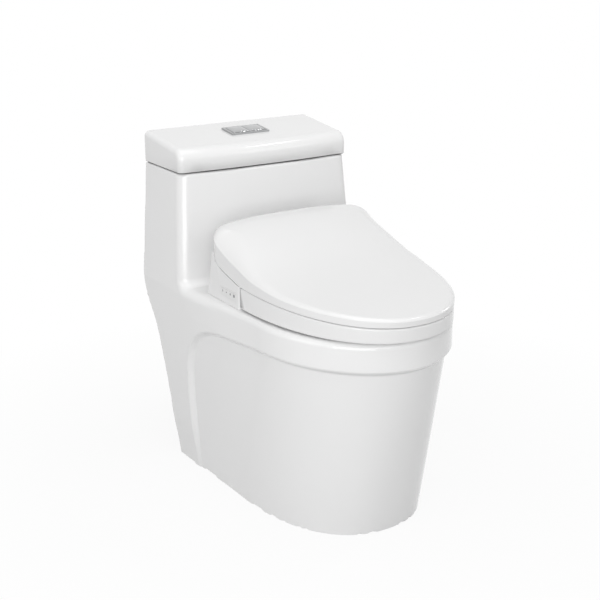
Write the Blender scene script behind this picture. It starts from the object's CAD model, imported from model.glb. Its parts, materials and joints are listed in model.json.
"""Dresses the one-piece toilet with its washing seat and lights it for a plain studio picture."""

import json
import logging
import math
from dataclasses import dataclass, field
from enum import Enum

import bmesh
import bpy
import numpy as np
from mathutils import Euler, Matrix, Vector


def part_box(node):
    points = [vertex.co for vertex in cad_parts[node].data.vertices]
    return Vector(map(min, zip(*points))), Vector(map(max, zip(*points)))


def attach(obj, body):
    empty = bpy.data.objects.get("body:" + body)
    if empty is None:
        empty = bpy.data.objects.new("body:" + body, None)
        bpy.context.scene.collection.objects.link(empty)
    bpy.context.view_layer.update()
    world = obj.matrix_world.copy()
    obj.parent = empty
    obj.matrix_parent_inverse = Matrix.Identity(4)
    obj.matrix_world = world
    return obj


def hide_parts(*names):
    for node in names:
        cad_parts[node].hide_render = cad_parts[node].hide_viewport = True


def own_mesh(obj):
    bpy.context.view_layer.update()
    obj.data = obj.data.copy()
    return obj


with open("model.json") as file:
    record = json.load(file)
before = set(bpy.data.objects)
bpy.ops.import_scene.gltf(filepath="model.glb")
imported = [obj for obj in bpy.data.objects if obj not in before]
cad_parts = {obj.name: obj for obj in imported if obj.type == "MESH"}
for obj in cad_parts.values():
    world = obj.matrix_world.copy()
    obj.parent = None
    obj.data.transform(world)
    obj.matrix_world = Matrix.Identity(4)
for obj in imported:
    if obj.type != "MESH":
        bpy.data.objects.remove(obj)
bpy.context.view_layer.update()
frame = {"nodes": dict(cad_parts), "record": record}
log = logging.getLogger("toilet")

MM = 0.001
BACK = 345.0
SEAM_RING, SEAM_FRONT = 456.3, 441.5
SWEEP_FRONT, SWEEP_BACK = 366.0, 263.0
SWEEP_LINE, SWEEP_RISE, SWEEP_POWER = 0.56, 44, 8
KEY_BODIES = ("key_a", "key_b", "key_c", "key_d")


# ---------------------------------------------------------------- finishes


@dataclass(frozen=True)
class Finish:
    """A procedural finish: one shader with mottling, fine relief and uneven gloss."""

    name: str
    colour: tuple[float, float, float]
    roughness: float
    metallic: float = 0.0
    coat: float = 0.0
    coat_roughness: float = 0.03
    mottle: float = 0.02
    mottle_scale: float = 9.0
    relief: float = 0.02
    relief_scale: float = 120.0
    relief_depth: float = 0.0004
    gloss_spread: float = 0.04
    specular: float = 0.5

    def material(self) -> bpy.types.Material:
        """Build the node tree once and return it.

        Returns:
            The material.
        """
        made = bpy.data.materials.get(self.name)
        if made:
            return made
        made = bpy.data.materials.new(self.name)
        made.use_nodes = True
        made.diffuse_color = (*self.colour, 1.0)
        nodes, links = made.node_tree.nodes, made.node_tree.links
        shader = nodes["Principled BSDF"]
        shader.inputs["Metallic"].default_value = self.metallic
        shader.inputs["Coat Weight"].default_value = self.coat
        shader.inputs["Coat Roughness"].default_value = self.coat_roughness
        shader.inputs["Specular IOR Level"].default_value = self.specular
        place = nodes.new("ShaderNodeTexCoord")
        cloud = self._noise(nodes, links, place, self.mottle_scale, 4.0)
        tint = nodes.new("ShaderNodeValToRGB")
        tint.color_ramp.elements[0].position = 0.3
        tint.color_ramp.elements[1].position = 0.7
        dark = tuple(max(c * (1 - self.mottle), 0.0) for c in self.colour)
        tint.color_ramp.elements[0].color = (*dark, 1.0)
        tint.color_ramp.elements[1].color = (*self.colour, 1.0)
        links.new(cloud.outputs["Fac"], tint.inputs["Fac"])
        links.new(tint.outputs["Color"], shader.inputs["Base Color"])
        gloss = nodes.new("ShaderNodeMapRange")
        gloss.inputs["To Min"].default_value = max(self.roughness - self.gloss_spread / 2, 0.01)
        gloss.inputs["To Max"].default_value = self.roughness + self.gloss_spread / 2
        links.new(self._noise(nodes, links, place, self.mottle_scale * 3.1, 3.0).outputs["Fac"],
                  gloss.inputs["Value"])
        links.new(gloss.outputs["Result"], shader.inputs["Roughness"])
        bump = nodes.new("ShaderNodeBump")
        bump.inputs["Strength"].default_value = self.relief
        bump.inputs["Distance"].default_value = self.relief_depth
        links.new(self._relief(nodes, links, place), bump.inputs["Height"])
        links.new(bump.outputs["Normal"], shader.inputs["Normal"])
        return made

    def _noise(self, nodes: bpy.types.Nodes, links: bpy.types.NodeLinks, place: bpy.types.Node,
               scale: float, detail: float) -> bpy.types.Node:
        """Add a noise on Object coordinates.

        Args:
            nodes: the tree's nodes.
            links: the tree's links.
            place: the texture coordinate node.
            scale: waves per metre.
            detail: octaves.

        Returns:
            The noise node.
        """
        noise = nodes.new("ShaderNodeTexNoise")
        noise.inputs["Scale"].default_value = scale
        noise.inputs["Detail"].default_value = detail
        links.new(place.outputs["Object"], noise.inputs["Vector"])
        return noise

    def _relief(self, nodes: bpy.types.Nodes, links: bpy.types.NodeLinks,
                place: bpy.types.Node) -> bpy.types.NodeSocket:
        """Add the relief that the bump follows.

        Args:
            nodes: the tree's nodes.
            links: the tree's links.
            place: the texture coordinate node.

        Returns:
            The socket that carries its height.
        """
        return self._noise(nodes, links, place, self.relief_scale, 3.0).outputs["Fac"]


@dataclass(frozen=True)
class BrushedFinish(Finish):
    """A metal whose relief is drawn out into fine brushed lines along X."""

    def _relief(self, nodes: bpy.types.Nodes, links: bpy.types.NodeLinks,
                place: bpy.types.Node) -> bpy.types.NodeSocket:
        """Add noise that is stretched along X.

        Args:
            nodes: the tree's nodes.
            links: the tree's links.
            place: the texture coordinate node.

        Returns:
            The socket that carries its height.
        """
        stretch = nodes.new("ShaderNodeMapping")
        stretch.inputs["Scale"].default_value = (0.03, 1.0, 1.0)
        links.new(place.outputs["Object"], stretch.inputs["Vector"])
        noise = nodes.new("ShaderNodeTexNoise")
        noise.inputs["Scale"].default_value = self.relief_scale
        noise.inputs["Detail"].default_value = 2.0
        links.new(stretch.outputs["Vector"], noise.inputs["Vector"])
        return noise.outputs["Fac"]


@dataclass(frozen=True)
class PrintedBoard(Finish):
    """Circuit board lacquer with a faint grid of copper tracks below it."""

    def _relief(self, nodes: bpy.types.Nodes, links: bpy.types.NodeLinks,
                place: bpy.types.Node) -> bpy.types.NodeSocket:
        """Add a brick pattern for the tracks.

        Args:
            nodes: the tree's nodes.
            links: the tree's links.
            place: the texture coordinate node.

        Returns:
            The socket that carries their height.
        """
        tracks = nodes.new("ShaderNodeTexBrick")
        tracks.inputs["Scale"].default_value = self.relief_scale
        tracks.inputs["Mortar Size"].default_value = 0.04
        links.new(place.outputs["Object"], tracks.inputs["Vector"])
        return tracks.outputs["Fac"]


GLAZE = Finish("white_glaze", (0.84, 0.84, 0.84), 0.12, coat=0.25, coat_roughness=0.02, mottle=0.012,
               mottle_scale=5.0, relief=0.05, relief_scale=26.0, relief_depth=0.0012, gloss_spread=0.03)
SEAT_PLASTIC = Finish("seat_plastic", (0.80, 0.80, 0.80), 0.20, coat=0.25, coat_roughness=0.08, mottle=0.01,
                      relief=0.03, relief_scale=240.0, relief_depth=0.0003)
HOUSING_PLASTIC = Finish("housing_plastic", (0.78, 0.78, 0.78), 0.26, coat=0.15, coat_roughness=0.1,
                         mottle=0.015, relief=0.05, relief_scale=420.0, relief_depth=0.0003)
CHROME = Finish("bright_chrome", (0.46, 0.465, 0.47), 0.10, metallic=1.0, mottle=0.02, relief=0.02,
                relief_scale=60.0, gloss_spread=0.03)
STEEL = BrushedFinish("brushed_steel", (0.60, 0.61, 0.62), 0.28, metallic=1.0, mottle=0.06, relief=0.1,
                      relief_scale=900.0)
BRASS = BrushedFinish("turned_brass", (0.72, 0.53, 0.25), 0.25, metallic=1.0, mottle=0.08, relief=0.12,
                      relief_scale=1400.0)
FOIL = Finish("foil", (0.72, 0.72, 0.73), 0.33, metallic=1.0, mottle=0.05, relief=0.35, relief_scale=300.0)
BLACK_RUBBER = Finish("black_rubber", (0.025, 0.025, 0.026), 0.62, mottle=0.2, relief=0.25,
                      relief_scale=900.0, specular=0.3)
PALE_RUBBER = Finish("pale_rubber", (0.66, 0.66, 0.64), 0.55, mottle=0.05, relief=0.15,
                     relief_scale=700.0, specular=0.35)
VALVE_PLASTIC = Finish("valve_plastic", (0.66, 0.69, 0.70), 0.38, mottle=0.04, relief=0.12,
                       relief_scale=500.0)
GREY_PLASTIC = Finish("grey_plastic", (0.36, 0.37, 0.38), 0.42, mottle=0.05, relief=0.15, relief_scale=700.0)
DARK_PLASTIC = Finish("dark_plastic", (0.022, 0.022, 0.024), 0.45, mottle=0.2, relief=0.2, relief_scale=800.0)
KEY_PRINT = Finish("key_print", (0.09, 0.095, 0.10), 0.5, mottle=0.08, relief=0.05, relief_scale=900.0)
SATIN_METAL = Finish("satin_metal", (0.40, 0.405, 0.41), 0.22, metallic=1.0, mottle=0.04, relief=0.04,
                     relief_scale=200.0, gloss_spread=0.06)
BOARD = PrintedBoard("board_lacquer", (0.02, 0.12, 0.05), 0.3, coat=0.4, mottle=0.25, mottle_scale=60.0,
                     relief=0.5, relief_scale=90.0)

FINISH_OF_SLOT = {
    "ceramic": GLAZE,
    "white_plastic": SEAT_PLASTIC,
    "grey_plastic": GREY_PLASTIC,
    "dark_plastic": DARK_PLASTIC,
    "valve_plastic": VALVE_PLASTIC,
    "chrome": CHROME,
    "steel": STEEL,
    "brass": BRASS,
    "rubber": BLACK_RUBBER,
    "clear_rubber": PALE_RUBBER,
    "board": BOARD,
    "heater_foil": FOIL,
}


# ---------------------------------------------------------------- shared mesh work


def smooth_share(value: np.ndarray) -> np.ndarray:
    """Zero to one with level ends, for an array.

    Args:
        value: shares, which are held between zero and one.

    Returns:
        The eased shares.
    """
    value = np.clip(value, 0.0, 1.0)
    return value * value * (3 - 2 * value)


def round_meet(first: np.ndarray, second: np.ndarray, radius: np.ndarray) -> np.ndarray:
    """The distance field of what two solids share, its edge rounded.

    Args:
        first: signed distance to one solid.
        second: signed distance to the other.
        radius: the edge's radius.

    Returns:
        The signed distance to the shared solid.
    """
    corner = np.hypot(np.maximum(first + radius, 0), np.maximum(second + radius, 0))
    return np.minimum(-radius, np.maximum(first, second)) + corner


def round_join(first: np.ndarray, second: np.ndarray, radius: np.ndarray) -> np.ndarray:
    """The distance field of two solids together, with a fillet where they meet.

    Args:
        first: signed distance to one solid.
        second: signed distance to the other.
        radius: the fillet's radius.

    Returns:
        The signed distance to the joined solid.
    """
    return -round_meet(-first, -second, radius)


def spline(knots: np.ndarray, values: np.ndarray, places: np.ndarray) -> np.ndarray:
    """A natural cubic spline through values at knots, read at places.

    Args:
        knots: rising places of the given values.
        values: the given values.
        places: where to read the curve.

    Returns:
        The curve's values at the places.
    """
    count = len(knots)
    step = np.diff(knots)
    system = np.eye(count)
    right = np.zeros(count)
    for row in range(1, count - 1):
        system[row, row - 1:row + 2] = (step[row - 1], 2 * (step[row - 1] + step[row]), step[row])
        right[row] = 6 * ((values[row + 1] - values[row]) / step[row]
                          - (values[row] - values[row - 1]) / step[row - 1])
    bend = np.linalg.solve(system, right)
    index = np.clip(np.searchsorted(knots, places) - 1, 0, count - 2)
    span = step[index]
    low, high = (knots[index + 1] - places) / span, (places - knots[index]) / span
    return (low * values[index] + high * values[index + 1]
            + ((low ** 3 - low) * bend[index] + (high ** 3 - high) * bend[index + 1]) * span ** 2 / 6)


def node_copy(node: str, name: str) -> bpy.types.Object:
    """Copy a CAD node's mesh into an object of its own, its loose triangles merged.

    Args:
        node: the CAD node.
        name: the new object's name.

    Returns:
        The new object, in the scene.
    """
    source = frame["nodes"][node]
    mesh = source.data.copy()
    mesh.name = name
    mesh.materials.clear()
    work = bmesh.new()
    work.from_mesh(mesh)
    bmesh.ops.remove_doubles(work, verts=work.verts, dist=2e-6)
    work.to_mesh(mesh)
    work.free()
    piece = bpy.data.objects.new(name, mesh)
    bpy.context.scene.collection.objects.link(piece)
    return piece


def loft(name: str, rings: list[np.ndarray], hoop: bool = False) -> bpy.types.Object:
    """Skin a closed solid over rings of points.

    Args:
        name: the new object's name.
        rings: equal rings of points in millimetres, as (x, distance from the back, z).
        hoop: join the last ring to the first, in place of closing each end to its middle.

    Returns:
        The new object, in the scene.
    """
    count = len(rings[0])
    rings = [*rings, rings[0]] if hoop else rings
    points = np.vstack([*rings, rings[0].mean(axis=0), rings[-1].mean(axis=0)])
    place = np.stack([points[:, 0], BACK - points[:, 1], points[:, 2]], axis=1) * MM
    after = [(spot + 1) % count for spot in range(count)]
    faces = [(row * count + spot, row * count + after[spot], (row + 1) * count + after[spot],
              (row + 1) * count + spot) for row in range(len(rings) - 1) for spot in range(count)]
    first, last, tail = len(points) - 2, len(points) - 1, (len(rings) - 1) * count
    if not hoop:
        faces += [(first, after[spot], spot) for spot in range(count)]
        faces += [(last, tail + spot, tail + after[spot]) for spot in range(count)]
    mesh = bpy.data.meshes.new(name)
    mesh.from_pydata(place.tolist(), [], faces)
    work = bmesh.new()
    work.from_mesh(mesh)
    bmesh.ops.delete(work, geom=[spot for spot in work.verts if not spot.link_faces], context="VERTS")
    bmesh.ops.remove_doubles(work, verts=work.verts, dist=1e-7)
    bmesh.ops.recalc_face_normals(work, faces=work.faces)
    work.to_mesh(mesh)
    work.free()
    piece = bpy.data.objects.new(name, mesh)
    bpy.context.scene.collection.objects.link(piece)
    return piece


def rounded_box(low: tuple[float, float], high: tuple[float, float], radius: float,
                steps: int = 6) -> np.ndarray:
    """Points round a rectangle with round corners.

    Args:
        low: its lower corner.
        high: its upper corner.
        radius: the corners' radius.
        steps: points on each corner.

    Returns:
        The points, two columns, anticlockwise.
    """
    rows = []
    corners = ((high[0], high[1]), (low[0], high[1]), (low[0], low[1]), (high[0], low[1]))
    for quarter, (u, v) in enumerate(corners):
        middle = (u - radius if u == high[0] else u + radius, v - radius if v == high[1] else v + radius)
        for step in range(steps):
            turn = math.pi / 2 * (quarter + step / (steps - 1))
            rows.append((middle[0] + radius * math.cos(turn), middle[1] + radius * math.sin(turn)))
    return np.array(rows)


def apply_modifiers(piece: bpy.types.Object) -> None:
    """Replace an object's mesh by its evaluated one and clear its modifiers.

    Args:
        piece: the object.
    """
    graph = bpy.context.evaluated_depsgraph_get()
    graph.update()
    done = bpy.data.meshes.new_from_object(piece.evaluated_get(graph), depsgraph=graph)
    piece.modifiers.clear()
    piece.data = done


def shade(piece: bpy.types.Object, angle: float = 32.0) -> None:
    """Shade an object smooth, with edges above an angle kept sharp.

    Args:
        piece: the object.
        angle: the angle in degrees.
    """
    piece.data.shade_smooth()
    piece.data.set_sharp_from_angle(angle=math.radians(angle))


def dress(piece: bpy.types.Object, finish: Finish, body: str, nodes: tuple[str, ...]) -> None:
    """Give a piece its finish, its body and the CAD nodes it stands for.

    Args:
        piece: the piece.
        finish: its finish.
        body: the body it rides on.
        nodes: the nodes it replaces.
    """
    piece.data.materials.clear()
    piece.data.materials.append(finish.material())
    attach(piece, body)
    if nodes:
        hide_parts(*nodes)
    log.info("%s rides on %s", piece.name, body)


class Assembly:
    """What every group of pieces can do: soften CAD nodes and dress them."""

    def soften(self, node: str, body: str, finish: Finish, slot: str) -> bpy.types.Object:
        """Replace a CAD node by a copy that is shaded smoothly over its bends.

        Args:
            node: the CAD node.
            body: the body it rides on.
            finish: its finish.
            slot: the record's material slot.

        Returns:
            The new piece.
        """
        piece = node_copy(node, node + "_dressed")
        shade(piece)
        facing = piece.modifiers.new("facing", "WEIGHTED_NORMAL")
        facing.keep_sharp = True
        facing.weight = 60
        apply_modifiers(piece)
        dress(piece, finish, body, (node,))
        return piece


# ---------------------------------------------------------------- the ceramic body


@dataclass
class CeramicBody(Assembly):
    """The glazed body: skirt with side panels, rim band, deck and tank in one soft form."""

    grain: float = 6.8
    height: float = 410.0
    seam: float = 636.6
    band: float = 352.0
    recess: float = 10.0
    softness: float = 6.5
    widest: float = 213.9
    foot_half: float = 178.0
    foot_gain: float = 27.0
    waist_half: float = 171.0
    waist_gain: float = 11.0
    waist_at: float = 338.0
    waist_shift: float = 109.0
    nose_at: float = 604.0
    nose_shift: float = 67.0
    fullness: float = 2.3
    fullness_loss: float = 0.36
    shoulder_at: float = 175.0
    lip_at_foot: float = 0.35
    lip_full_height: float = 120.0
    tank_half: float = 213.2
    tank_taper: float = 15.2
    tank_front: float = 179.0
    tank_lean: float = 18.0
    tank_bow: float = 8.0
    side_blend: float = 6.0
    rear_corner: float = 9.0
    tank_fillet: float = 15.0
    deck_edge: float = 20.0
    rim_edge: float = 11.0
    rim_from: float = 235.0
    rim_run: float = 110.0
    outer_reach: float = 12.5
    rear_reach: float = 21.0
    rear_zone: float = 130.0
    foot_reach: float = 3.4
    foot_height: float = 3.2
    plumb_height: float = 14.0
    least_facing: float = 0.55
    border: tuple[tuple[float, float], ...] = (
        (465, 352), (337, 343), (268, 335), (222, 312), (193, 272), (177, 207), (173, 108), (173, -5))
    rear_heights: tuple[float, ...] = (0, 50, 92, 135, 177, 218, 259, 279, 298, 318, 335, 350, 375, 410)
    rear_steps: tuple[float, ...] = (85, 80.5, 78, 74.5, 67, 58.5, 49.5, 44, 37.5, 27, 16, 8, 1.5, 0)
    outline: np.ndarray = field(init=False)

    def __post_init__(self) -> None:
        """Draw the side panel's outline as a smooth closed polygon."""
        knots = np.array(self.border, float)
        reach = np.concatenate([[0], np.cumsum(np.hypot(*np.diff(knots, axis=0).T))])
        fine = np.linspace(0, reach[-1], 70)
        curve = np.stack([spline(reach, knots[:, axis], fine) for axis in (0, 1)], axis=1)
        self.outline = np.vstack([[[900, self.band]], curve, [[173, -60]], [[900, -60]]])

    def _inside_panel(self, distance: np.ndarray, height: np.ndarray) -> np.ndarray:
        """Distance to the side panel's outline, positive within it.

        Args:
            distance: the points' distances from the back.
            height: their heights.

        Returns:
            The signed distances in millimetres.
        """
        gap = np.full(distance.shape, 1e9)
        inside = np.zeros(distance.shape, bool)
        ends = np.roll(self.outline, -1, axis=0)
        for (ax, ay), (bx, by) in zip(self.outline, ends):
            run, rise = bx - ax, by - ay
            share = np.clip(((distance - ax) * run + (height - ay) * rise) / (run * run + rise * rise), 0, 1)
            gap = np.minimum(gap, np.hypot(distance - ax - share * run, height - ay - share * rise))
            if rise != 0:
                crosses = (ay > height) != (by > height)
                inside ^= crosses & (distance < ax + (height - ay) * run / rise)
        return np.where(inside, gap, -gap)

    def field(self, place: np.ndarray) -> np.ndarray:
        """The outside's distance field.

        Args:
            place: points in millimetres, as (x, distance from the back, z).

        Returns:
            The signed distances, negative inside.
        """
        x, d, z = np.abs(place[:, 0]), place[:, 1], place[:, 2]
        low = np.clip(z / self.height, 0, 1.06)
        climb = np.clip(z / self.band, 0, 1)
        lip_share = smooth_share(z / self.lip_full_height)
        lip = self.recess * (self.lip_at_foot + (1 - self.lip_at_foot) * lip_share)
        rear = np.interp(z, self.rear_heights, self.rear_steps)
        skirt_half = self.foot_half + self.foot_gain * low + lip
        up = (z - self.height) / (self.seam - self.height)
        tank_half = self.tank_half - self.tank_taper * up
        rear_half = -round_join(-skirt_half, -tank_half, np.full(z.shape, self.side_blend))
        rear_half = np.minimum(rear_half, np.minimum(skirt_half, tank_half))
        waist = self.waist_at + self.waist_shift * climb
        waist_half = self.waist_half + self.waist_gain * climb + lip
        front = self.nose_at + self.nose_shift * climb + lip
        fullness = self.fullness - self.fullness_loss * climb
        shoulder = rear + (self.shoulder_at - rear) * climb
        narrowing = smooth_share((d - shoulder) / (waist - shoulder))
        half = rear_half + (waist_half - rear_half) * narrowing
        above = z > self.height + self.side_blend
        half = np.where(above, rear_half, half)
        side = x - half
        ahead = np.maximum(d - waist, 0) / (front - waist)
        across = x / waist_half
        reach = (across ** fullness + ahead ** fullness) ** (1 / fullness)
        nose = (reach - 1) * np.where(ahead > 0, 1, 0)
        slope = np.hypot((across / np.maximum(reach, 1e-6)) ** (fullness - 1) / waist_half,
                         (ahead / np.maximum(reach, 1e-6)) ** (fullness - 1) / (front - waist))
        plan = np.where((d > waist) & ~above, nose / np.maximum(slope, 1e-6), side)
        plan = round_meet(plan, (rear - d) * 0.98, np.full(z.shape, self.rear_corner))
        inset = lip * smooth_share((self._inside_panel(d, z) + self.softness) / (2 * self.softness))
        bow = self.tank_bow * (1 - np.minimum(x / tank_half, 1) ** 2)
        tank_front = d - (self.tank_front - self.tank_lean * np.clip(up, -0.1, 1) + bow)
        top = round_join(z - self.height, tank_front, np.full(z.shape, self.tank_fillet))
        along = smooth_share((d - self.rim_from) / self.rim_run)
        edge = self.deck_edge - (self.deck_edge - self.rim_edge) * along
        return round_meet(plan + inset, top, edge)

    def slope(self, place: np.ndarray) -> np.ndarray:
        """The field's gradient by small steps.

        Args:
            place: points in millimetres, as (x, distance from the back, z).

        Returns:
            A gradient for each point.
        """
        step = 0.4
        rows = []
        for axis in range(3):
            shift = np.zeros(3)
            shift[axis] = step
            rows.append((self.field(place + shift) - self.field(place - shift)) / (2 * step))
        return np.stack(rows, axis=1)

    def settle(self, mesh: bpy.types.Mesh) -> np.ndarray:
        """Move the outside's points onto the smooth form.

        Args:
            mesh: the remeshed body.

        Returns:
            A normal for each point, in the frame's axes.
        """
        count = len(mesh.vertices)
        place = np.empty(count * 3)
        mesh.vertices.foreach_get("co", place)
        place = place.reshape(-1, 3) / MM
        place[:, 1] = BACK - place[:, 1]
        normals = np.empty(count * 3)
        mesh.vertices.foreach_get("normal", normals)
        normals = normals.reshape(-1, 3)
        turned = normals * np.array([1, -1, 1])
        low = place[:, 2] < self.height
        rear = np.interp(place[:, 2], self.rear_heights, self.rear_steps)
        place[low, 1] = np.maximum(place[low, 1], rear[low])
        value = self.field(place)
        slope = self.slope(place)
        size = np.maximum(np.linalg.norm(slope, axis=1), 1e-6)
        along = (turned * slope).sum(axis=1) / size
        foot = (np.abs(value) < self.foot_reach) & (place[:, 2] < self.foot_height)
        reach = np.where(place[:, 1] < self.rear_zone, self.rear_reach, self.outer_reach)
        chosen = (np.abs(value) < reach) & (along > self.least_facing) & (place[:, 2] < self.seam - 5) | foot
        place[foot, 2] = 0.0
        spot = place[chosen]
        level = (spot[:, 2] < self.plumb_height)[:, None] * np.array([0, 0, 1])
        for _ in range(6):
            value = self.field(spot)
            slope = self.slope(spot) * (1 - level)
            square = np.maximum((slope ** 2).sum(axis=1), 0.2)
            spot = spot - slope * np.clip(value / square, -4, 4)[:, None]
        spot[:, 0] = np.clip(spot[:, 0], -self.widest, self.widest)
        spot[:, 1] = np.maximum(spot[:, 1], 0.01)
        place[chosen] = spot
        facing = self.slope(spot)
        facing /= np.maximum(np.linalg.norm(facing, axis=1), 1e-6)[:, None]
        place[:, 1] = BACK - place[:, 1]
        mesh.vertices.foreach_set("co", (place * MM).ravel())
        mesh.update()
        fresh = np.empty(count * 3)
        mesh.vertices.foreach_get("normal", fresh)
        fresh = fresh.reshape(-1, 3)
        fresh[chosen] = facing * np.array([1, -1, 1])
        return fresh

    def refine(self, mesh: bpy.types.Mesh) -> None:
        """Divide the faces along the side panel's border.

        Args:
            mesh: the settled body.
        """
        work = bmesh.new()
        work.from_mesh(mesh)
        centres = np.array([face.calc_center_median()[:] for face in work.faces]) / MM
        centres[:, 1] = BACK - centres[:, 1]
        near = np.abs(self._inside_panel(centres[:, 1], centres[:, 2])) < self.softness + 5
        near &= np.abs(self.field(centres)) < 2
        work.faces.ensure_lookup_table()
        edges = {edge for face, hit in zip(work.faces, near) if hit for edge in face.edges}
        bmesh.ops.subdivide_edges(work, edges=list(edges), cuts=1, use_grid_fill=True)
        bmesh.ops.triangulate(work, faces=[face for face in work.faces if len(face.verts) > 4])
        work.to_mesh(mesh)
        work.free()

    def build(self) -> None:
        """Make the body and dress it."""
        piece = node_copy("ceramic_body", "glazed_body")
        remesh = piece.modifiers.new("clay", "REMESH")
        remesh.mode = "VOXEL"
        remesh.voxel_size = self.grain * MM
        apply_modifiers(piece)
        self.settle(piece.data)
        self.refine(piece.data)
        self.settle(piece.data)
        self.refine(piece.data)
        normals = self.settle(piece.data)
        piece.data.shade_smooth()
        piece.data.normals_split_custom_set_from_vertices(normals.tolist())
        log.info("glazed body has %d faces", len(piece.data.polygons))
        dress(piece, GLAZE, "root", ("ceramic_body",))


# ---------------------------------------------------------------- the seat lid


@dataclass
class SeatLid(Assembly):
    """The lid's outer shell: a crowned top that sweeps up to the rear, with an even side wall."""

    half: float = 186.0
    back: float = 243.0
    waist: float = 381.0
    front: float = 690.0
    fullness: float = 2.2
    corner: float = 38.0
    wall: float = 3.2
    flatness: float = 3.0
    lip: float = 502.0
    seam_gap: float = 1.5
    places: tuple[float, ...] = (243, 256, 270, 282, 295, 311, 334, 357, 400, 444, 520, 600, 690)
    sides: tuple[float, ...] = (545, 542.5, 540, 537, 533.5, 528, 519, 509, 491, 478.5, 466.5, 460.5, 455)
    crowns: tuple[float, ...] = (15, 15, 15, 15, 15, 15, 15, 15, 13.6, 11.9, 8.8, 5.6, 2)
    edges: tuple[float, ...] = (9, 12, 16, 20, 23, 24, 22, 18, 12, 7, 5, 5, 5)
    crease: float = 0.62
    middle: float = 460.0

    def top(self, x: np.ndarray, distance: np.ndarray) -> np.ndarray:
        """Height of the crowned top over a point of the plan.

        Args:
            x: the point's distance from the middle plane.
            distance: its distance from the tank's back.

        Returns:
            The height in millimetres.
        """
        side = spline(np.array(self.places), np.array(self.sides), distance)
        crown = np.interp(distance, self.places, self.crowns)
        return side + crown * (1 - np.abs(x / self.half) ** self.flatness)

    def seam(self, distance: np.ndarray) -> np.ndarray:
        """Height of the shell's lower edge.

        Args:
            distance: the distance from the tank's back.

        Returns:
            The height in millimetres.
        """
        line = SEAM_RING + (SEAM_FRONT - SEAM_RING) * (distance - SWEEP_FRONT) / (self.front - SWEEP_FRONT)
        share = np.clip((SWEEP_FRONT - distance) / (SWEEP_FRONT - SWEEP_BACK), 0, 1)
        climb = SWEEP_LINE * share + (1 - SWEEP_LINE) * share ** SWEEP_POWER
        low = np.where(distance >= SWEEP_FRONT, line, SEAM_RING + SWEEP_RISE * climb)
        return np.where(distance < SWEEP_BACK - 1, self.lip, low) + self.seam_gap / 2

    def plan(self, inset: float) -> np.ndarray:
        """The shell's outline from above.

        Args:
            inset: how far it is pulled in.

        Returns:
            The outline, as (x, distance).
        """
        half, back = self.half - inset, self.back + inset
        corner = max(self.corner - inset, 2.0)
        rows = [(x, back) for x in np.linspace(0, half - corner, 12)[:-1]]
        for turn in np.linspace(-math.pi / 2, 0, 13):
            rows.append((half - corner + corner * math.cos(turn), back + corner + corner * math.sin(turn)))
        rows += [(half, d) for d in np.linspace(back + corner, self.waist, 16)[1:-1]]
        nose = self.front - inset - self.waist
        for turn in np.linspace(0, math.pi / 2, 40):
            rows.append((half * max(math.cos(turn), 0) ** (2 / self.fullness),
                         self.waist + nose * math.sin(turn) ** (2 / self.fullness)))
        right = np.array(rows)
        left = right[1:-1][::-1] * np.array([-1, 1])
        return np.vstack([right, left])

    def rounding(self, outer: np.ndarray) -> list[np.ndarray]:
        """Rings over the edge where the side wall turns into the top, wider towards the rear.

        Args:
            outer: the outline, as (x, distance).

        Returns:
            The rings, from the wall to the top.
        """
        radius = np.interp(outer[:, 1], self.places, self.edges)[:, None] / (1 - math.sin(self.crease))
        inward = self.plan(1.0) - outer
        rings = []
        for turn in np.linspace(self.crease, math.pi / 2, 11):
            spot = outer + inward * radius * (math.cos(self.crease) - math.cos(turn))
            height = self.top(spot[:, 0], spot[:, 1]) - radius[:, 0] * (1 - math.sin(turn))
            rings.append(np.column_stack([spot, height]))
        return rings

    def build(self) -> None:
        """Make the shell and dress it."""
        outer, inner = self.plan(0.0), self.plan(self.wall)
        middle = np.array([0, self.middle])
        low = self.seam(outer[:, 1])
        edge = self.rounding(outer)
        ceiling = np.minimum(self.top(inner[:, 0], inner[:, 1]), edge[0][:, 2] + 2) - self.wall
        rings = []
        for share in (0.02, 0.3, 0.6, 0.85):
            pulled = inner * share + middle * (1 - share)
            rings.append(np.column_stack([pulled, self.top(pulled[:, 0], pulled[:, 1]) - self.wall]))
        rings.append(np.column_stack([inner, ceiling]))
        rings.append(np.column_stack([inner, low]))
        rings.append(np.column_stack([outer + (inner - outer) * 0.15, low]))
        for share in (0.0, 0.5, 0.95):
            rings.append(np.column_stack([outer, low + 0.5 + (edge[0][:, 2] - low - 0.5) * share]))
        rings += edge
        flat = edge[-1][:, :2]
        for share in (0.97, 0.93, 0.88, 0.8, 0.7, 0.6, 0.5, 0.4, 0.3, 0.2, 0.1, 0.02):
            pulled = flat * share + middle * (1 - share)
            rings.append(np.column_stack([pulled, self.top(pulled[:, 0], pulled[:, 1])]))
        piece = loft("seat_lid_shell", rings)
        shade(piece, 24.0)
        dress(piece, SEAT_PLASTIC, "lid", ("seat_lid_cover",))


# ---------------------------------------------------------------- tank lid seat, flush buttons and keys


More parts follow.
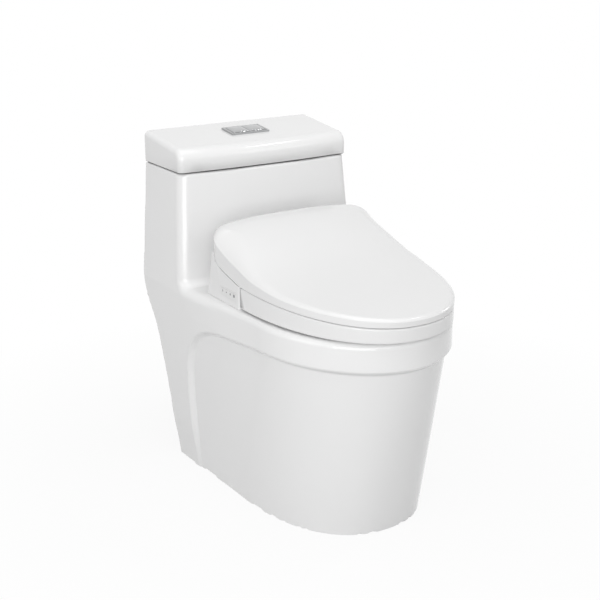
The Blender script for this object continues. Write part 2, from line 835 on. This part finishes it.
@dataclass
class LidSeat(Assembly):
    """The soft dark strip that the tank lid rests on, which shows as a fine line under the lid."""

    half: float = 197.4
    rear: float = 0.6
    front: float = 160.4
    bow: float = 8.0
    width: float = 7.0
    corner: float = 9.0

    def build(self) -> None:
        """Make the strip in place of the pads."""
        low, high = (corner[2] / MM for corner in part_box("tank_lid_pads"))
        rings = []
        for inset, height in ((0.0, low), (0.0, high), (self.width, high), (self.width, low)):
            half, front = self.half - inset, self.front - inset
            plan = rounded_box((-half, self.rear + inset), (half, front), self.corner)
            across = np.linspace(half - self.corner, self.corner - half, 14)[1:-1]
            line = np.column_stack([across, np.full(len(across), front)])
            plan = np.vstack([plan[:6], line, plan[6:]])
            plan[:, 1] += np.where(plan[:, 1] > 100, self.bow * (1 - (plan[:, 0] / self.half) ** 2), 0)
            rings.append(np.column_stack([plan, np.full(len(plan), height)]))
        piece = loft("lid_seat_strip", rings, hoop=True)
        shade(piece)
        dress(piece, BLACK_RUBBER, "root", ("tank_lid_pads",))


@dataclass
class FlushButtons(Assembly):
    """Two domed press buttons set in the bright frame on the tank lid."""

    slope: float = 6.5
    corner: float = 3.0
    travel: float = 5.6
    dome: tuple[tuple[float, float], ...] = ((0.0, -1.6), (0.25, -0.8), (0.8, -0.3), (2.0, 0.0), (4.5, 0.4),
                                             (8.0, 0.7), (12.0, 0.85))

    def build(self) -> None:
        """Make both buttons and dress the frame."""
        self.soften("flush_bezel", "tank_cover", SATIN_METAL, "chrome")
        for node, body in (("full_flush_button", "full_button"), ("half_flush_button", "half_button")):
            low, high = (np.array(corner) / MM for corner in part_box(node))
            near, far = BACK - high[1], BACK - low[1]
            fall = math.tan(math.radians(self.slope))
            rings = []
            for inset, lift in ((0.0, None), *self.dome):
                reach = min(inset, (high[0] - low[0]) / 2 - 1, (far - near) / 2 - 1)
                plan = rounded_box((low[0] + reach, near + reach), (high[0] - reach, far - reach),
                                   max(self.corner - reach, 0.6))
                crown = high[2] - (plan[:, 1] - near) * fall
                height = np.full(len(plan), low[2]) if lift is None else crown + lift
                rings.append(np.column_stack([plan, height]))
            piece = loft(node + "_domed", rings)
            shade(piece, 40.0)
            dress(piece, CHROME, body, (node,))
            self._spring(node.replace("button", "spring"), node.split("_")[0] + "_flush_press")

    def _spring(self, node: str, joint: str) -> None:
        """Dress a button's return spring, which shortens as the button goes down.

        Args:
            node: the spring's node.
            joint: the button's joint.
        """
        piece = self.soften(node, "tank_cover", STEEL, "steel")
        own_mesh(piece)


@dataclass
class SideKeys(Assembly):
    """Four white keys on the housing's left cheek, each with a small printed mark."""

    marks: tuple[tuple[float, float], ...] = ((1.0, 2.2), (1.6, 0.9), (1.5, 2.1), (2.3, 2.9))
    height: float = 433.0

    def build(self) -> None:
        """Dress the keys and their frame and print the marks."""
        self.soften("key_frame", "root", HOUSING_PLASTIC, "grey_plastic")
        for number, (wide, tall) in enumerate(self.marks):
            node, body = f"key_{number + 1}", KEY_BODIES[number]
            self.soften(node, body, HOUSING_PLASTIC, "grey_plastic")
            low, high = (np.array(corner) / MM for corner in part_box(node))
            middle = BACK - (low[1] + high[1]) / 2
            rings = []
            for depth, shrink in ((0.3, 0.0), (-0.03, 0.0), (-0.06, 0.15)):
                plan = rounded_box((middle - wide + shrink, self.height - tall + shrink),
                                   (middle + wide - shrink, self.height + tall - shrink),
                                   min(wide, tall) * 0.6 - shrink)
                rings.append(np.column_stack([np.full(len(plan), low[0] + depth), plan]))
            mark = loft(f"key_mark_{number + 1}", rings)
            shade(mark, 40.0)
            dress(mark, KEY_PRINT, body, ())


# ---------------------------------------------------------------- the rest, from the CAD nodes


class PlainPieces(Assembly):
    """Every other CAD node, softened and dressed by its slot."""

    def build(self) -> None:
        """Dress the nodes that no other class has replaced."""
        slots = {row["node"]: row["material_slot"] for row in frame["record"]["subparts"]}
        for body, nodes in frame["record"]["behaviour"]["bodies"].items():
            for node in nodes:
                if frame["nodes"][node].hide_render:
                    continue
                slot = slots[node]
                self.soften(node, body, FINISH_OF_SLOT[slot], slot)


# ---------------------------------------------------------------- studio


def seen_by_ray(nodes: bpy.types.Nodes, links: bpy.types.NodeLinks,
                rays: bpy.types.Node) -> bpy.types.NodeSocket:
    """One for rays that see the background: from the camera, through glass or off metal.

    Args:
        nodes: the tree's nodes.
        links: the tree's links.
        rays: the Light Path node.

    Returns:
        The socket with the result.
    """
    last = rays.outputs["Is Camera Ray"]
    for kind in ("Is Glossy Ray", "Is Transmission Ray"):
        most = nodes.new("ShaderNodeMath")
        most.operation = "MAXIMUM"
        links.new(last, most.inputs[0])
        links.new(rays.outputs[kind], most.inputs[1])
        last = most.outputs[0]
    return last


class Use(Enum):
    """What a lamp is there for."""

    FILL = "fill"
    STREAK = "streak"


@dataclass(frozen=True)
class Lamp:
    """A soft rectangular lamp that looks at a point."""

    use: Use
    place: tuple[float, float, float]
    target: tuple[float, float, float]
    size: tuple[float, float]
    power: float

    def build(self) -> None:
        """Add the lamp to the scene."""
        light = bpy.data.lights.new(f"{self.use.value}_lamp", "AREA")
        light.shape = "RECTANGLE"
        light.size, light.size_y = self.size
        light.energy = self.power
        lamp = bpy.data.objects.new(light.name, light)
        lamp.location = self.place
        aim = Vector(self.target) - Vector(self.place)
        lamp.rotation_euler = aim.to_track_quat("-Z", "Y").to_euler()
        bpy.context.scene.collection.objects.link(lamp)


@dataclass
class Studio:
    """Floor, background, lamps and camera."""

    eye: tuple[float, float, float] = (-1.2292, -1.8552, 1.1286)
    turn: float = -32.765
    tilt: float = 18.327
    roll: float = 0.045
    lens: float = 70.4
    floor_bounce: float = 0.45
    floor_seen: float = 0.85
    shadow_from: float = 0.45
    shadow_to: float = 1.1
    white_share: float = 0.9
    lamps: tuple[Lamp, ...] = (
        Lamp(Use.FILL, (-2.0, -2.1, 0.95), (0.0, 0.0, 0.35), (2.2, 1.6), 34.0),
        Lamp(Use.FILL, (-2.7, 0.1, 1.4), (0.0, 0.0, 0.35), (1.4, 1.4), 7.0),
        Lamp(Use.FILL, (0.0, -0.3, 2.8), (0.0, 0.0, 0.35), (1.6, 1.6), 12.5),
        Lamp(Use.FILL, (1.6, -2.3, 1.4), (0.0, 0.0, 0.35), (0.8, 0.8), 2.0),
        Lamp(Use.FILL, (-0.5, -3.0, 1.9), (0.0, 0.0, 0.45), (1.8, 1.0), 9.0),
        Lamp(Use.STREAK, (1.07, -0.46, 2.28), (0.05, 0.16, 0.68), (0.30, 0.10), 2.5),
        Lamp(Use.STREAK, (-0.79, -0.67, 2.25), (-0.11, -0.29, 0.41), (0.20, 0.10), 1.5),
        Lamp(Use.STREAK, (1.84, -0.23, 1.31), (0.06, -0.33, 0.41), (0.20, 0.15), 1.5),
    )

    def build(self) -> None:
        """Set the stage."""
        self._camera()
        self._floor()
        self._world()
        for lamp in self.lamps:
            lamp.build()
        bpy.context.scene.view_settings.view_transform = "Standard"

    def _camera(self) -> None:
        """Stand the camera where the photograph was taken from."""
        data = bpy.data.cameras.new("camera")
        data.lens = self.lens
        data.sensor_width = 36.0
        data.sensor_fit = "HORIZONTAL"
        data.clip_end = 50.0
        camera = bpy.data.objects.new("camera", data)
        camera.location = self.eye
        turned = Euler((math.radians(90 - self.tilt), 0.0, math.radians(self.turn)), "XYZ").to_matrix()
        rolled = turned @ Matrix.Rotation(math.radians(self.roll), 3, "Z")
        camera.rotation_euler = rolled.to_euler()
        bpy.context.scene.collection.objects.link(camera)
        bpy.context.scene.camera = camera

    def _floor(self) -> None:
        """A wide pale floor that the camera sees as white except for the soft shadow."""
        bpy.ops.mesh.primitive_plane_add(size=30.0, location=(0.0, 0.0, -0.0005))
        floor = bpy.context.object
        floor.name = "studio_floor"
        made = bpy.data.materials.new("studio_floor")
        made.use_nodes = True
        nodes, links = made.node_tree.nodes, made.node_tree.links
        shader = nodes["Principled BSDF"]
        shader.inputs["Roughness"].default_value = 0.9
        shader.inputs["Specular IOR Level"].default_value = 0.0
        rays = nodes.new("ShaderNodeLightPath")
        tone = nodes.new("ShaderNodeMix")
        tone.data_type = "RGBA"
        tone.inputs["A"].default_value = (*[self.floor_bounce] * 3, 1.0)
        tone.inputs["B"].default_value = (*[self.floor_seen] * 3, 1.0)
        links.new(rays.outputs["Is Camera Ray"], tone.inputs["Factor"])
        links.new(tone.outputs["Result"], shader.inputs["Base Color"])
        glow = nodes.new("ShaderNodeEmission")
        glow.inputs["Color"].default_value = (1.0, 1.0, 1.0, 1.0)
        place = nodes.new("ShaderNodeTexCoord")
        length = nodes.new("ShaderNodeVectorMath")
        length.operation = "LENGTH"
        links.new(place.outputs["Object"], length.inputs[0])
        fade = nodes.new("ShaderNodeMapRange")
        fade.inputs["From Min"].default_value = self.shadow_from
        fade.inputs["From Max"].default_value = self.shadow_to
        fade.inputs["To Min"].default_value = self.white_share
        fade.inputs["To Max"].default_value = 1.0
        links.new(length.outputs["Value"], fade.inputs["Value"])
        share = nodes.new("ShaderNodeMath")
        share.operation = "MULTIPLY"
        links.new(seen_by_ray(nodes, links, rays), share.inputs[0])
        links.new(fade.outputs["Result"], share.inputs[1])
        blend = nodes.new("ShaderNodeMixShader")
        links.new(share.outputs[0], blend.inputs["Fac"])
        links.new(shader.outputs["BSDF"], blend.inputs[1])
        links.new(glow.outputs["Emission"], blend.inputs[2])
        links.new(blend.outputs["Shader"], nodes["Material Output"].inputs["Surface"])
        floor.data.materials.append(made)

    def _world(self) -> None:
        """A white background for the eye and for reflections, dimmer as light."""
        world = bpy.data.worlds.new("studio")
        bpy.context.scene.world = world
        world.use_nodes = True
        nodes, links = world.node_tree.nodes, world.node_tree.links
        rays = nodes.new("ShaderNodeLightPath")
        white = nodes.new("ShaderNodeBackground")
        white.inputs["Color"].default_value = (1.0, 1.0, 1.0, 1.0)
        white.inputs["Strength"].default_value = 1.0
        soft = nodes["Background"]
        soft.inputs["Color"].default_value = (1.0, 1.0, 1.0, 1.0)
        soft.inputs["Strength"].default_value = 0.52
        blend = nodes.new("ShaderNodeMixShader")
        links.new(seen_by_ray(nodes, links, rays), blend.inputs["Fac"])
        links.new(soft.outputs["Background"], blend.inputs[1])
        links.new(white.outputs["Background"], blend.inputs[2])
        links.new(blend.outputs["Shader"], nodes["World Output"].inputs["Surface"])


def main() -> None:
    """Build the studio and every sub-assembly, then note both boxes."""
    logging.basicConfig(level=logging.INFO, format="%(name)s: %(message)s")
    Studio().build()
    CeramicBody().build()
    SeatLid().build()
    LidSeat().build()
    FlushButtons().build()
    SideKeys().build()
    PlainPieces().build()


if __name__ == "__main__":
    main()
